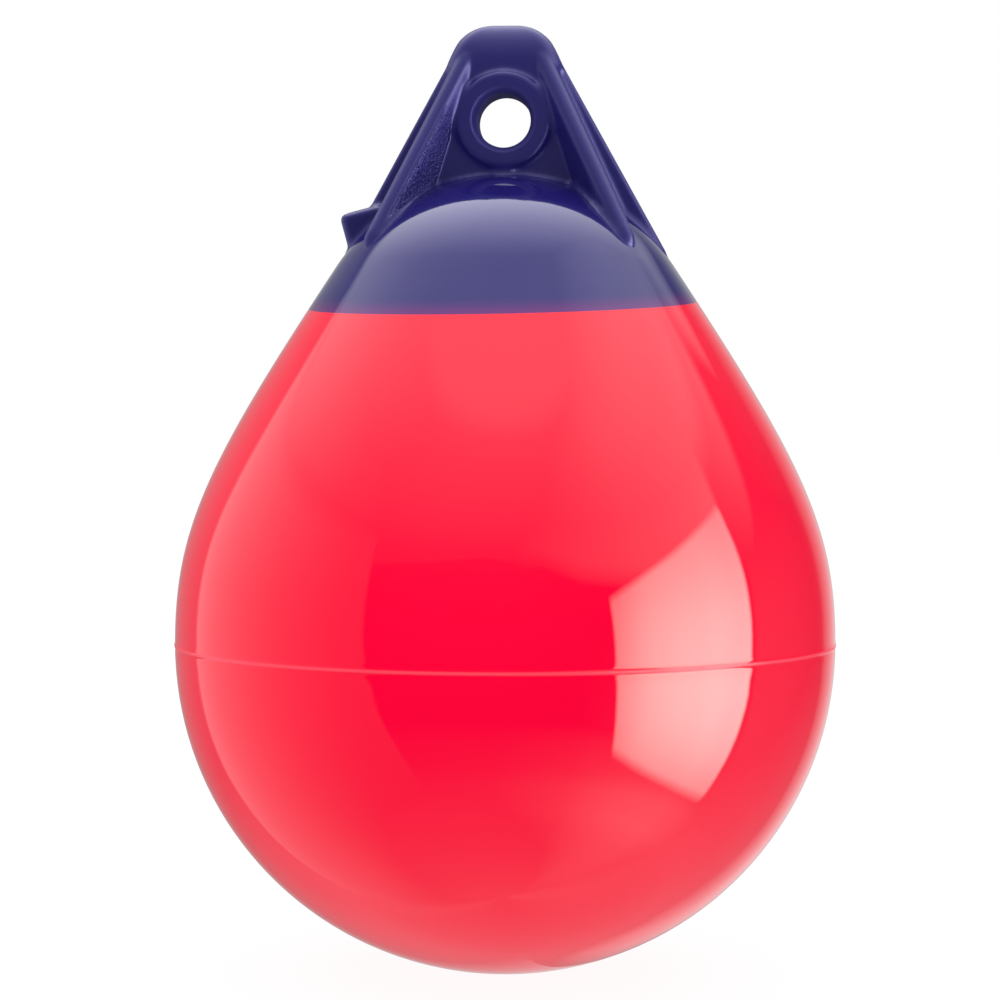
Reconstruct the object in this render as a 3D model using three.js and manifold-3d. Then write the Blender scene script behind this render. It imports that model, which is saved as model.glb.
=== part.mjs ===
// Inflatable ball fender, in millimetres, +Z up.
// The origin is the centre of the rope eye. The eye's bore runs along Y, and the
// fender hangs down from it along -Z, with its widest part far below the eye.
//
// A teardrop ball of soft vinyl is closed by a moulded rope end: a cap, a lug with a
// ringed eye, four ribs that spread to the cap, a web on either side, and a valve boss.

import * as THREE from "three";
import { mergeVertices } from "three/addons/utils/BufferGeometryUtils.js";
import Module from "manifold-3d";

const wasm = await Module();
wasm.setup();

const degrees = (angle) => (angle * Math.PI) / 180;

// Ball
const ballRadius = 184;
const ballBelowEye = 290;
const ballWall = 4;
const flankFullness = 63.8;
const shoulderSlope = degrees(33.4);
const shoulderFullness = 132.3;
const partingWidth = 1.8;
const partingHeight = 0.6;

// Cap of the rope end
const crownRadius = 112.4;
const crownBelowEye = 29.4;
const capWall = 7;
const capThickens = 34;
const jointBelowEye = 101.1;
const jointTiltForward = degrees(4.9);
const jointTiltSideways = degrees(0.8);
const jointGap = 0.3;

// Lug, cap of the lug and side webs
const lugTop = 53.7;
const lugTopFlat = 14;
const lugCornerRadius = 22;
const webHalfThickness = 5.6;
const webEdgeRound = 2;
const plateHalfThickness = 13.5;
const lugCapHeight = 19;
const lugCapRounding = 17;
const lugCapBulge = 0.8;
const lugTopLeftFlat = 0.02;
const lugCapCorner = 9;

// Ribs
const ribTop = 30;
const ribStartOut = 23.6;
const ribFootAboveShoulder = 10;
const ribFootTurn = degrees(38);
const ribFootProud = 2.5;
const ribCrestRadius = 4.7;
const ribDraft = degrees(21);
const ribFootFillet = 4;
const pocketFillet = 3.5;

// Rope eye
const eyeRadius = 14.5;
const eyeMouthRadius = 18.6;
const eyeMouthDepth = 7;
const ringRadius = 26;
const ringRound = 1.6;
const ringProud = 4;

// Valve boss, insert and screw
const bossWidth = 26;
const bossDepth = 24;
const bossCorner = 5;
const bossEdgeRound = 2.5;
const bossTilt = degrees(14.5);
const bossLean = degrees(7);
const bossBeyondWeb = 4;
const bossAboveShoulder = 32.3;
const bossLength = 30;
const valveOffCentre = 2;
const valveRecess = 3.2;
const insertFlangeRadius = 7.5;
const insertFlangeHeight = 2;
const insertRadius = 5.6;
const insertLength = 22;
const insertBore = 3.2;
const screwHeadRadius = 5.8;
const screwHeadHeight = 2.6;
const screwHeadRound = 0.8;
const screwLength = 15;
const slotWidth = 1.8;
const slotDepth = 1.4;
const seatGap = 0.3;

// Fineness of the round surfaces
const turnsOfBall = 60;
const turnsOfEye = 40;
const turnsOfValve = 28;

const red = new THREE.MeshStandardMaterial({ color: 0xf5123c, roughness: 0.18, metalness: 0 });
const blue = new THREE.MeshStandardMaterial({ color: 0x2b2670, roughness: 0.25, metalness: 0 });
const black = new THREE.MeshStandardMaterial({ color: 0x1c1c20, roughness: 0.5, metalness: 0 });
const white = new THREE.MeshStandardMaterial({ color: 0xd8d8dc, roughness: 0.4, metalness: 0 });

// Closed meshes as solids, and solids as meshes

function solidOf(geometry) {
  const bare = geometry.clone();
  bare.deleteAttribute("normal");
  bare.deleteAttribute("uv");
  const merged = mergeVertices(bare, 1e-4);
  const index = merged.index.array;
  const triangles = [];
  for (let i = 0; i < index.length; i += 3) {
    const [a, b, c] = [index[i], index[i + 1], index[i + 2]];
    if (a !== b && b !== c && c !== a) triangles.push(a, b, c);
  }
  return new wasm.Manifold(new wasm.Mesh({
    numProp: 3,
    vertProperties: new Float32Array(merged.attributes.position.array),
    triVerts: new Uint32Array(triangles),
  }));
}

function meshOf(name, solid, material) {
  const result = solid.getMesh();
  const geometry = new THREE.BufferGeometry();
  const position = new THREE.BufferAttribute(new Float32Array(result.vertProperties), 3);
  geometry.setAttribute("position", position);
  geometry.setIndex(new THREE.BufferAttribute(new Uint32Array(result.triVerts), 1));
  geometry.computeVertexNormals();
  const mesh = new THREE.Mesh(geometry, material);
  mesh.name = name;
  return mesh;
}

// A profile of (radius, height) points turned about the Z axis
function turned(points, turns) {
  return new THREE.LatheGeometry(points, turns).rotateX(Math.PI / 2);
}

// Outline of the ball and cap, as seen from the side

const ballCentre = -ballBelowEye;
const crownCentre = -crownBelowEye - crownRadius;
const shoulder = new THREE.Vector2(
  crownRadius * Math.cos(shoulderSlope),
  crownCentre + crownRadius * Math.sin(shoulderSlope),
);

function bodyOutline(stepsBelow, stepsFlank, stepsCrown) {
  const outline = [];
  for (let i = 0; i < stepsBelow; i += 1) {
    const angle = -Math.PI / 2 + (Math.PI / 2) * (i / stepsBelow);
    const height = ballCentre + ballRadius * Math.sin(angle);
    outline.push(new THREE.Vector2(Math.max(0, ballRadius * Math.cos(angle)), height));
  }
  outline[0].x = 0;
  const flank = new THREE.CubicBezierCurve(
    new THREE.Vector2(ballRadius, ballCentre),
    new THREE.Vector2(ballRadius, ballCentre + flankFullness),
    new THREE.Vector2(
      shoulder.x + shoulderFullness * Math.sin(shoulderSlope),
      shoulder.y - shoulderFullness * Math.cos(shoulderSlope),
    ),
    shoulder,
  );
  outline.push(...flank.getPoints(stepsFlank));
  for (let i = 1; i <= stepsCrown; i += 1) {
    const angle = shoulderSlope + (Math.PI / 2 - shoulderSlope) * (i / stepsCrown);
    const radius = i === stepsCrown ? 0 : crownRadius * Math.cos(angle);
    outline.push(new THREE.Vector2(radius, crownCentre + crownRadius * Math.sin(angle)));
  }
  return outline;
}

// The wall is thin in the ball and thickens above the joint
function wallAt(height) {
  const above = (height + jointBelowEye) / capThickens;
  return THREE.MathUtils.lerp(ballWall, capWall, THREE.MathUtils.smoothstep(above, 0, 1));
}

function innerOutline(outline) {
  return outline.map((point, i) => {
    const before = outline[Math.max(0, i - 1)];
    const after = outline[Math.min(outline.length - 1, i + 1)];
    const along = after.clone().sub(before).normalize();
    const wall = wallAt(point.y);
    if (point.x === 0) return new THREE.Vector2(0, point.y + (i === 0 ? wall : -wall));
    return new THREE.Vector2(Math.max(0.5, point.x - wall * along.y), point.y + wall * along.x);
  });
}

// The parting line of the mould is a fine raised bead round the widest part
function withPartingBead(outline) {
  const half = partingWidth / 2;
  const widest = outline.findIndex((point) => point.y >= ballCentre - 1e-6);
  const bead = [
    new THREE.Vector2(ballRadius, ballCentre - half),
    new THREE.Vector2(ballRadius + partingHeight, ballCentre - half / 3),
    new THREE.Vector2(ballRadius + partingHeight, ballCentre + half / 3),
    new THREE.Vector2(ballRadius, ballCentre + half),
  ];
  return [...outline.slice(0, widest), ...bead, ...outline.slice(widest + 1)];
}

// The plane where the two colours meet, as a half space above or below it

function halfSpace(side) {
  const size = 4 * (ballRadius + ballBelowEye + lugTop);
  const box = new THREE.BoxGeometry(size, size, size);
  box.translate(0, 0, side * (size / 2 + jointGap / 2));
  box.rotateX(jointTiltForward);
  box.rotateY(-jointTiltSideways);
  box.translate(0, 0, -jointBelowEye);
  return solidOf(box);
}

// Lug, as level sections from below the crown to the top

// The webs run straight down from the lug's round corners to the cap's shoulder
const cornerCentre = new THREE.Vector2(lugTopFlat / 2, lugTop - lugCornerRadius);
const toShoulder = shoulder.clone().sub(cornerCentre);
const webSlope = toShoulder.angle() - 2 * Math.PI
  + Math.acos(lugCornerRadius / toShoulder.length());
const webEdge = cornerCentre.x + lugCornerRadius * Math.cos(webSlope);
const webEdgeHeight = cornerCentre.y + lugCornerRadius * Math.sin(webSlope);
const lugBottom = shoulder.y - capWall;

function halfWidthAt(height) {
  if (height <= webEdgeHeight) return webEdge + (webEdgeHeight - height) * Math.tan(webSlope);
  const up = height - cornerCentre.y;
  const across = Math.sqrt(Math.max(0, lugCornerRadius ** 2 - up ** 2));
  return cornerCentre.x + across;
}

// Each rib's crest runs straight from the foot of the lug's cap to a foot that stands
// a little proud of the crown, and ends there
const ribFootHeight = shoulder.y + ribFootAboveShoulder;
const ribFootReach = ribFootProud
  + Math.sqrt(crownRadius ** 2 - (ribFootHeight - crownCentre) ** 2);
const ribSpread = (ribFootReach * Math.cos(ribFootTurn) - ribStartOut) / (ribTop - ribFootHeight);
const ribLean = (ribFootReach * Math.sin(ribFootTurn) - plateHalfThickness)
  / (ribTop - ribFootHeight);

// One quarter of a level section, from the middle of the face out to the web: the
// face, a drafted wall up to the rib's round crest, the rib's flank and its foot.
// Where the crest is no prouder than the face, the wall has no height.
function quarterSection({ face, crestOut, crestDeep, crestRadius, foot }) {
  const centre = new THREE.Vector2(crestOut, crestDeep - crestRadius);
  const onCrest = (angle) => new THREE.Vector2(
    centre.x + crestRadius * Math.cos(angle),
    centre.y + crestRadius * Math.sin(angle),
  );
  const faceMeetsCrest = Math.min(1, (face - centre.y) / crestRadius);
  const start = Math.PI - Math.asin(Math.max(Math.sin(ribDraft), faceMeetsCrest));
  const wallTop = onCrest(start);
  const rise = Math.max(0, wallTop.y - face);
  const corner = new THREE.Vector2(wallTop.x - rise * Math.tan(ribDraft), face);
  const soft = Math.min(pocketFillet, 0.6 * rise);
  const onFace = new THREE.Vector2(corner.x - soft - 0.6, face);
  const onWall = new THREE.Vector2(
    corner.x + soft * Math.sin(ribDraft) - 0.1,
    face + soft * Math.cos(ribDraft),
  );
  const between = corner.clone().multiplyScalar(2).add(onFace).add(onWall).multiplyScalar(0.25);
  const points = [new THREE.Vector2(0, face), onFace, between, onWall];
  const crestSteps = 7;
  for (let i = 0; i <= crestSteps; i += 1) {
    points.push(onCrest(start * (1 - i / crestSteps)));
  }
  const flank = crestOut + crestRadius;
  const low = Math.min(webHalfThickness + foot, centre.y * 0.8);
  const base = Math.min(webHalfThickness, low * 0.6);
  const footSteps = 3;
  for (let i = 0; i <= footSteps; i += 1) {
    const angle = (Math.PI / 2) * (i / footSteps);
    points.push(new THREE.Vector2(
      flank + foot * (1 - Math.cos(angle)),
      low - (low - base) * Math.sin(angle),
    ));
  }
  return points;
}

function wholeSection(quarter, height) {
  const back = [...quarter].reverse();
  const rest = quarter.slice(1);
  const ring = [
    ...back,
    ...rest.map((p) => new THREE.Vector2(-p.x, p.y)),
    ...back.map((p) => new THREE.Vector2(-p.x, -p.y)),
    ...rest.map((p) => new THREE.Vector2(p.x, -p.y)),
  ];
  return ring.map((p) => new THREE.Vector3(p.x, p.y, height));
}

function ribSection(height) {
  const down = ribTop - Math.max(height, ribFootHeight);
  return quarterSection({
    face: plateHalfThickness,
    crestOut: ribStartOut + ribSpread * down,
    crestDeep: plateHalfThickness + ribLean * down,
    crestRadius: ribCrestRadius,
    foot: ribFootFillet,
  });
}

// The lug's own cap, above the ribs: a rounded bar whose faces curve back to the top
function lugCapSection(height) {
  const curveStart = lugTop - lugCapRounding;
  const up = Math.max(0, (height - curveStart) / (lugCapRounding * (1 + lugTopLeftFlat)));
  const thickness = plateHalfThickness * Math.sqrt(1 - up ** 2);
  const corner = Math.min(lugCapCorner, thickness * 0.9);
  const bulge = lugCapBulge * Math.sin(Math.PI * Math.min(1, (lugTop - height) / lugCapHeight));
  return quarterSection({
    face: thickness,
    crestOut: halfWidthAt(height) + bulge - corner,
    crestDeep: thickness,
    crestRadius: corner,
    foot: 0,
  });
}

function loft(rings) {
  const count = rings[0].length;
  const corners = rings.flat().flatMap((p) => [p.x, p.y, p.z]);
  const faces = [];
  for (let level = 0; level + 1 < rings.length; level += 1) {
    for (let i = 0; i < count; i += 1) {
      const next = (i + 1) % count;
      const [a, b] = [level * count + i, level * count + next];
      faces.push(a, b, b + count, a, b + count, a + count);
    }
  }
  const flat = (ring) => ring.map((p) => new THREE.Vector2(p.x, p.y));
  const top = (rings.length - 1) * count;
  for (const [a, b, c] of THREE.ShapeUtils.triangulateShape(flat(rings[0]), [])) {
    faces.push(c, b, a);
  }
  for (const [a, b, c] of THREE.ShapeUtils.triangulateShape(flat(rings.at(-1)), [])) {
    faces.push(top + a, top + b, top + c);
  }
  const geometry = new THREE.BufferGeometry();
  geometry.setAttribute("position", new THREE.Float32BufferAttribute(corners, 3));
  geometry.setIndex(faces);
  return geometry;
}

function lugBody() {
  const rings = [wholeSection(ribSection(lugBottom), lugBottom)];
  const ribSteps = 8;
  for (let i = 0; i <= ribSteps; i += 1) {
    const height = THREE.MathUtils.lerp(ribFootHeight, ribTop, i / ribSteps);
    rings.push(wholeSection(ribSection(height), height));
  }
  const capSteps = 9;
  const capBottom = lugTop - lugCapHeight;
  for (let i = 0; i <= capSteps; i += 1) {
    const angle = (Math.PI / 2) * (i / capSteps);
    const height = capBottom + (lugTop - capBottom) * Math.sin(angle);
    rings.push(wholeSection(lugCapSection(height), height));
  }
  return solidOf(loft(rings));
}

// Side webs: one plate in the eye's middle plane, from the lug's cap to the shoulders
function sideWebs() {
  const low = halfWidthAt(lugBottom);
  const high = halfWidthAt(webEdgeHeight);
  const outline = new THREE.Shape([
    new THREE.Vector2(-low, lugBottom),
    new THREE.Vector2(low, lugBottom),
    new THREE.Vector2(high, webEdgeHeight),
    new THREE.Vector2(-high, webEdgeHeight),
  ]);
  const plate = new THREE.ExtrudeGeometry(outline, {
    depth: 2 * (webHalfThickness - webEdgeRound),
    bevelThickness: webEdgeRound,
    bevelSize: webEdgeRound,
    bevelOffset: -webEdgeRound,
    bevelSegments: 3,
  });
  plate.translate(0, 0, webEdgeRound - webHalfThickness);
  plate.rotateX(Math.PI / 2);
  return solidOf(plate);
}

// Rope eye: a ring raised on both faces, with a belled mouth at either end

const ringFace = plateHalfThickness + ringProud;

function eyeRing() {
  const front = [];
  front.push(new THREE.Vector2(eyeRadius, 0));
  const mouthSteps = 6;
  for (let i = 0; i <= mouthSteps; i += 1) {
    const angle = (Math.PI / 2) * (i / mouthSteps);
    front.push(new THREE.Vector2(
      eyeMouthRadius - (eyeMouthRadius - eyeRadius) * Math.cos(angle),
      ringFace - eyeMouthDepth * (1 - Math.sin(angle)),
    ));
  }
  const roundSteps = 3;
  for (let i = 0; i <= roundSteps; i += 1) {
    const angle = (Math.PI / 2) * (1 - i / roundSteps);
    front.push(new THREE.Vector2(
      ringRadius - ringRound + ringRound * Math.cos(angle),
      ringFace - ringRound + ringRound * Math.sin(angle),
    ));
  }
  const back = front.slice(1).map((p) => new THREE.Vector2(p.x, -p.y)).reverse();
  const profile = [...front, ...back, front[0].clone()].reverse();
  return solidOf(new THREE.LatheGeometry(profile, turnsOfEye));
}

function eyeHole() {
  const radius = (eyeMouthRadius + ringRadius) / 2;
  const reach = 2 * (ringFace + ribLean * ribTop);
  return solidOf(new THREE.CylinderGeometry(radius, radius, reach, turnsOfEye));
}

// Valve: a leaning boss beside the left web, with a flanged insert and a slotted screw

const bossHeight = shoulder.y + bossAboveShoulder;
const bossOut = halfWidthAt(bossHeight) + bossBeyondWeb;

function onBoss(geometry, sideways = 0) {
  geometry.translate(-sideways, 0, 0);
  geometry.rotateX(bossLean);
  geometry.rotateY(-bossTilt);
  geometry.translate(-bossOut, 0, bossHeight);
  return geometry;
}

function roundedRectangle(width, depth, radius) {
  const [w, d] = [width / 2, depth / 2];
  const shape = new THREE.Shape();
  shape.moveTo(-w + radius, -d);
  shape.lineTo(w - radius, -d);
  shape.absarc(w - radius, -d + radius, radius, -Math.PI / 2, 0);
  shape.lineTo(w, d - radius);
  shape.absarc(w - radius, d - radius, radius, 0, Math.PI / 2);
  shape.lineTo(-w + radius, d);
  shape.absarc(-w + radius, d - radius, radius, Math.PI / 2, Math.PI);
  shape.lineTo(-w, -d + radius);
  shape.absarc(-w + radius, -d + radius, radius, Math.PI, 1.5 * Math.PI);
  return shape;
}

function valveBoss() {
  const body = new THREE.ExtrudeGeometry(roundedRectangle(bossWidth, bossDepth, bossCorner), {
    depth: bossLength,
    curveSegments: 5,
    bevelThickness: bossEdgeRound,
    bevelSize: bossEdgeRound,
    bevelOffset: -bossEdgeRound,
    bevelSegments: 3,
  });
  body.translate(0, 0, -bossLength - bossEdgeRound);
  return solidOf(onBoss(body));
}

const insertTop = -valveRecess;
const flangeUnder = insertTop - insertFlangeHeight;

function valveSeat() {
  const rim = insertFlangeRadius + seatGap;
  const bore = insertRadius + seatGap;
  const floor = flangeUnder - seatGap;
  const deep = insertTop - insertLength - bossLength;
  const above = bossEdgeRound;
  return solidOf(onBoss(turned([
    new THREE.Vector2(0, deep),
    new THREE.Vector2(bore, deep),
    new THREE.Vector2(bore, floor),
    new THREE.Vector2(rim, floor),
    new THREE.Vector2(rim, above),
    new THREE.Vector2(0, above),
  ], turnsOfValve), valveOffCentre));
}

function valveInsert() {
  const bottom = insertTop - insertLength;
  return solidOf(onBoss(turned([
    new THREE.Vector2(insertBore, bottom),
    new THREE.Vector2(insertRadius, bottom),
    new THREE.Vector2(insertRadius, flangeUnder),
    new THREE.Vector2(insertFlangeRadius, flangeUnder),
    new THREE.Vector2(insertFlangeRadius, insertTop),
    new THREE.Vector2(insertBore, insertTop),
    new THREE.Vector2(insertBore, bottom),
  ], turnsOfValve), valveOffCentre));
}

function valveScrew() {
  const under = insertTop + seatGap;
  const top = under + screwHeadHeight;
  const shank = insertBore - seatGap;
  const end = under - screwLength;
  const screw = solidOf(onBoss(turned([
    new THREE.Vector2(0, end),
    new THREE.Vector2(shank * 0.6, end),
    new THREE.Vector2(shank, end + shank),
    new THREE.Vector2(shank, under),
    new THREE.Vector2(screwHeadRadius, under),
    new THREE.Vector2(screwHeadRadius, top - screwHeadRound),
    new THREE.Vector2(screwHeadRadius - screwHeadRound, top),
    new THREE.Vector2(0, top),
  ], turnsOfValve), valveOffCentre));
  const slot = new THREE.BoxGeometry(slotWidth, 4 * screwHeadRadius, 2 * slotDepth);
  slot.rotateZ(Math.PI / 5);
  slot.translate(0, 0, top);
  return screw.subtract(solidOf(onBoss(slot, valveOffCentre)));
}

// The two mouldings

const outline = bodyOutline(16, 16, 10);
const body = solidOf(turned(withPartingBead(outline), turnsOfBall));
const hollow = solidOf(turned(innerOutline(bodyOutline(8, 7, 5)), turnsOfBall));

const ballShell = body.subtract(hollow).intersect(halfSpace(-1));

const ropeEnd = body
  .add(lugBody())
  .add(sideWebs())
  .add(valveBoss())
  .subtract(eyeHole())
  .add(eyeRing())
  .subtract(hollow)
  .intersect(halfSpace(1))
  .subtract(valveSeat());

const fender = new THREE.Group();
fender.name = "ball_fender";
fender.add(meshOf("ball_shell", ballShell, red));
fender.add(meshOf("rope_end", ropeEnd, blue));
fender.add(meshOf("valve_insert", valveInsert(), black));
fender.add(meshOf("valve_screw", valveScrew(), white));

export default fender;
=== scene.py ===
"""Ball fender: a glossy red vinyl ball with a dark blue moulded rope end.

All sizes are in metres, +Z up. The origin is the centre of the rope eye, and the
eye's bore runs along Y. The camera looks from the front, along +Y.
"""

import math

import bmesh
import bpy
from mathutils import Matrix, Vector


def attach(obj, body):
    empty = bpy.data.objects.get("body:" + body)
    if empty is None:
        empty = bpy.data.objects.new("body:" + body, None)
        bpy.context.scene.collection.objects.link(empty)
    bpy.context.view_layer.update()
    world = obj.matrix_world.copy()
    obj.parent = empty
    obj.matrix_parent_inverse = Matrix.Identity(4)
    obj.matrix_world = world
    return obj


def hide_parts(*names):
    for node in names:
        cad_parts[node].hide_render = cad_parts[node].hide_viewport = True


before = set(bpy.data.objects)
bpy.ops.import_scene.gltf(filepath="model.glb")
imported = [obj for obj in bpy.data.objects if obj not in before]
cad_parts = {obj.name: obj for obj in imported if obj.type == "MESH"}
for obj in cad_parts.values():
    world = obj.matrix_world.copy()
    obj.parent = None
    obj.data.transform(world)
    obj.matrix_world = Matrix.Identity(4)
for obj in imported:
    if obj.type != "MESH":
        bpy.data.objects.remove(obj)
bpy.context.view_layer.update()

# Ball
BALL_RADIUS = 0.184
BALL_BELOW_EYE = 0.290
BALL_WALL = 0.004
FLANK_FULLNESS = 0.0638
SHOULDER_SLOPE = math.radians(33.4)
SHOULDER_FULLNESS = 0.1323
PARTING_WIDTH = 0.0026
PARTING_HEIGHT = 0.0004
# The line's section, as (up in half widths, out in heights)
PARTING_SHAPE = ((-3.6, -0.04), (-2.2, -0.1), (-1.4, -0.2), (-1, -0.1), (-0.6, 0.45),
                 (-0.2, 0.9), (0.2, 1), (0.6, 0.75), (1, 0.3), (1.6, -0.02))
PARTING_ROOM = 2.2 * PARTING_WIDTH
BALL_TURNS = 224
ARC_STEPS = 40
FLANK_STEPS = 44
CROWN_STEPS = 26
BODY_SMOOTH_ANGLE = math.radians(40)

# Cap of the rope end, and the plane where the two colours meet
CROWN_RADIUS = 0.1124
CROWN_BELOW_EYE = 0.0294
CAP_WALL = 0.007
JOINT_BELOW_EYE = 0.1011
JOINT_TILT_FORWARD = math.radians(4.9)
JOINT_TILT_SIDEWAYS = math.radians(0.8)

# Lug, its cap and its webs
LUG_TOP = 0.0537
LUG_TOP_FLAT = 0.014
LUG_CORNER_RADIUS = 0.022
WEB_HALF_THICKNESS = 0.0056
WEB_EDGE_ROUND = 0.002
PLATE_HALF_THICKNESS = 0.0135
LUG_CAP_HEIGHT = 0.022
LUG_CAP_ROUNDING = 0.0205
LUG_CAP_FULLNESS = 1.75
LUG_CAP_FLAT_END = 1.02
LUG_CAP_BULGE = 0.0008
LUG_CAP_CORNER = 0.009
LUG_CAP_SKIRT = 0.003
LUG_CAP_STEPS = 12
PLATE_TOP = LUG_TOP - LUG_CAP_ROUNDING + 0.0005
PLATE_BOTTOM = -0.060

# Ribs
RIB_TOP = 0.037
RIB_START_OUT = 0.0205
RIB_FOOT_ABOVE_SHOULDER = 0.0132
RIB_FOOT_TURN = math.radians(38)
RIB_FOOT_PROUD = 0.0034
RIB_HALF_WIDTH = 0.0047
RIB_CREST_ROUND = 0.96 * RIB_HALF_WIDTH
RIB_DRAFT = math.radians(21)
RIB_FOOT_ROUND = 0.005
RIB_SINK = 0.014

# Rope eye
EYE_RADIUS = 0.0149
EYE_MOUTH_RADIUS = 0.0188
EYE_MOUTH_DEPTH = 0.007
EYE_MOUTH_TURN = math.radians(84)
EYE_MOUTH_STEPS = 10
EYE_MOUTH_PAST_FACE = 1.01
RING_RADIUS = 0.0266
RING_ROUND = 0.002
RING_PROUD = 0.004
EYE_TURNS = 128
CUTTER_BEYOND = 0.03

# Valve boss and its seat
BOSS_WIDTH = 0.026
BOSS_DEPTH = 0.024
BOSS_CORNER = 0.005
BOSS_EDGE_ROUND = 0.0034
BOSS_TILT = math.radians(14.5)
BOSS_LEAN = math.radians(7)
BOSS_BEYOND_WEB = 0.004
BOSS_ABOVE_SHOULDER = 0.0323
BOSS_LENGTH = 0.030
VALVE_OFF_CENTRE = 0.002
SEAT_RADIUS = 0.0078
SEAT_DEPTH = 0.0055
SEAT_BORE_RADIUS = 0.0059
SEAT_BORE_DEPTH = 0.02
SEAT_TURNS = 64

# The lug is one moulding: its parts are grown together in a fine grid, its inner
# corners are filled to a radius, and its foot runs out on the cap
GRID = 0.00092
CORNER_FILL = 0.0016
SMOOTH_PASSES = 4
SUNK = 0.00025
GROUND_SUNK = 0.8 * SUNK
BLEND_HEIGHT = 0.0012
GROUND_BOTTOM = -0.100
CROWN_BOTTOM = -0.096
LUG_SMOOTH_ANGLE = math.radians(35)

# Points nearer to each other than this are one point
CLOSE = 1e-5

BALL_CENTRE = -BALL_BELOW_EYE
CROWN_CENTRE = -CROWN_BELOW_EYE - CROWN_RADIUS
SHOULDER = Vector((
    CROWN_RADIUS * math.cos(SHOULDER_SLOPE),
    0,
    CROWN_CENTRE + CROWN_RADIUS * math.sin(SHOULDER_SLOPE),
))
JOINT_POINT = Vector((0, 0, -JOINT_BELOW_EYE))
JOINT_NORMAL = Vector((
    -math.sin(JOINT_TILT_SIDEWAYS) * math.cos(JOINT_TILT_FORWARD),
    -math.sin(JOINT_TILT_FORWARD),
    math.cos(JOINT_TILT_SIDEWAYS) * math.cos(JOINT_TILT_FORWARD),
))
RING_FACE = PLATE_HALF_THICKNESS + RING_PROUD
UPRIGHT = (math.pi / 2, 0, 0)


# Hand tools

def deselect_all():
    if bpy.context.object and bpy.context.object.mode == "EDIT":
        bpy.ops.object.mode_set(mode="OBJECT")
    bpy.ops.object.select_all(action="DESELECT")


def choose(*pieces):
    """Selects these pieces alone; the first is the active one."""
    deselect_all()
    for piece in pieces:
        piece.select_set(True)
    bpy.context.view_layer.objects.active = pieces[0]


def named(name):
    """Names the primitive just added, and puts its place into its mesh."""
    piece = bpy.context.object
    piece.name = name
    piece.data.name = name
    choose(piece)
    bpy.ops.object.transform_apply(location=True, rotation=True, scale=True)
    return piece


def block(name, low, high):
    low, high = Vector(low), Vector(high)
    deselect_all()
    bpy.ops.mesh.primitive_cube_add(size=1, location=(low + high) / 2, scale=high - low)
    return named(name)


def edit(piece):
    choose(piece)
    bpy.ops.object.mode_set(mode="EDIT")


def done():
    bpy.ops.object.mode_set(mode="OBJECT")


def pick(kind, test):
    """Selects the vertices, edges or faces in edit mode that pass a test."""
    bpy.ops.mesh.select_mode(type=kind)
    bpy.ops.mesh.select_all(action="DESELECT")
    mesh = bmesh.from_edit_mesh(bpy.context.object.data)
    items = {"VERT": mesh.verts, "EDGE": mesh.edges, "FACE": mesh.faces}[kind]
    for item in items:
        if test(item):
            item.select_set(True)
    mesh.select_flush_mode()
    bmesh.update_edit_mesh(bpy.context.object.data)


def middle(edge):
    return (edge.verts[0].co + edge.verts[1].co) / 2


def between(edge, first, second):
    """True if the faces on an edge's two sides pass one test each, in either order."""
    if len(edge.link_faces) != 2:
        return False
    a, b = (face.normal for face in edge.link_faces)
    return (first(a) and second(b)) or (first(b) and second(a))


def move(x=0.0, y=0.0, z=0.0):
    bpy.ops.transform.translate(value=(x, y, z))


def draw_out(x=0.0, y=0.0, z=0.0):
    bpy.ops.mesh.extrude_region_move(TRANSFORM_OT_translate={"value": (x, y, z)})


def finish_with(piece, kind, **settings):
    """Adds a modifier to a piece, and applies it."""
    choose(piece)
    modifier = piece.modifiers.new(kind.title(), kind)
    for key, value in settings.items():
        setattr(modifier, key, value)
    bpy.ops.object.modifier_apply(modifier=modifier.name)


def copy_of(piece, name):
    deselect_all()
    twin = piece.copy()
    twin.data = piece.data.copy()
    twin.name = name
    twin.data.name = name
    bpy.context.scene.collection.objects.link(twin)
    return twin


def join(name, *pieces):
    choose(*pieces)
    bpy.ops.object.join()
    pieces[0].name = name
    return pieces[0]


def cut(piece, cutter):
    """Cuts one piece out of another, and takes the cutter away."""
    finish_with(piece, "BOOLEAN", operation="DIFFERENCE", object=cutter, solver="MANIFOLD")
    bpy.data.objects.remove(cutter)


def face_outwards():
    bpy.ops.mesh.select_all(action="SELECT")
    bpy.ops.mesh.remove_doubles(threshold=CLOSE)
    bpy.ops.mesh.normals_make_consistent(inside=False)


def smooth_below(piece, angle):
    """Shades a piece smooth, apart from its edges that are sharper than an angle."""
    choose(piece)
    bpy.ops.object.shade_smooth_by_angle(angle=angle)


def dress(piece, material):
    piece.data.materials.clear()
    piece.data.materials.append(material)


# Body: the ball and the cap share one outline

def flank_point(share):
    """A point on the curve from the ball's widest part to the cap's shoulder."""
    start = Vector((BALL_RADIUS, 0, BALL_CENTRE))
    rising = start + Vector((0, 0, FLANK_FULLNESS))
    arriving = SHOULDER + SHOULDER_FULLNESS * Vector((
        math.sin(SHOULDER_SLOPE), 0, -math.cos(SHOULDER_SLOPE)))
    rest = 1 - share
    return (rest ** 3 * start + 3 * rest ** 2 * share * rising
            + 3 * rest * share ** 2 * arriving + share ** 3 * SHOULDER)


def crown_point(share):
    angle = SHOULDER_SLOPE + (math.pi / 2 - SHOULDER_SLOPE) * share
    return Vector((CROWN_RADIUS * math.cos(angle), 0,
                   CROWN_CENTRE + CROWN_RADIUS * math.sin(angle)))


def parting_bead():
    """The fine raised line that the two halves of the mould leave."""
    half = PARTING_WIDTH / 2
    return [Vector((BALL_RADIUS + PARTING_HEIGHT * out, 0, BALL_CENTRE + half * up))
            for up, out in PARTING_SHAPE]


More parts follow.
